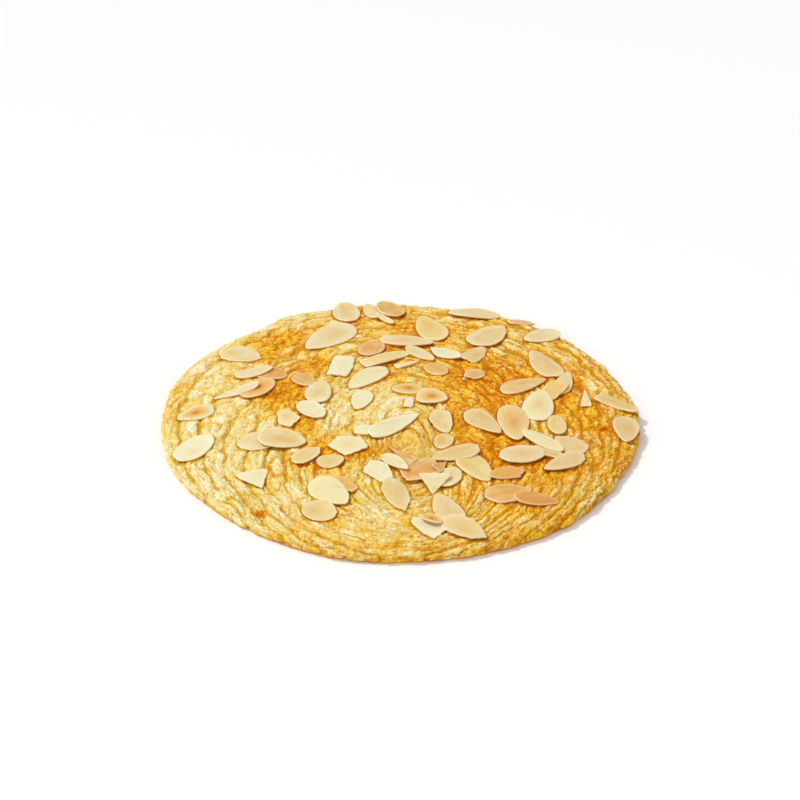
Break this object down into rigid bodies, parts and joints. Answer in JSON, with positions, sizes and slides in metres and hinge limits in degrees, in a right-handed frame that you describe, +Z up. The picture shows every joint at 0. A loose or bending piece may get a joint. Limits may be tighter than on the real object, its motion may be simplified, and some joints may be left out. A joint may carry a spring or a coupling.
{
  "type": "almond cookie",
  "caption": "Wide, thin round cookie of coiled flaky dough, baked golden, with sliced almonds scattered over its top.",
  "frame": {"origin": "middle of the flat underside, under the crossing of the cookie's width and depth", "axes": "+Z up out of the almond-covered top, +X to the right and +Y to the back as in the picture"},
  "size_m": [0.1791, 0.1838, 0.0124],
  "materials": {
    "baked_dough": "dry baked dough, pale butter yellow with golden-orange grooves, grainy and slightly glossy",
    "sliced_almond": "satin sliced almond, cream to lightly toasted tan"
  },
  "bodies": {
    "root": {"cookie": "baked_dough"}
  },
  "joints": []
}
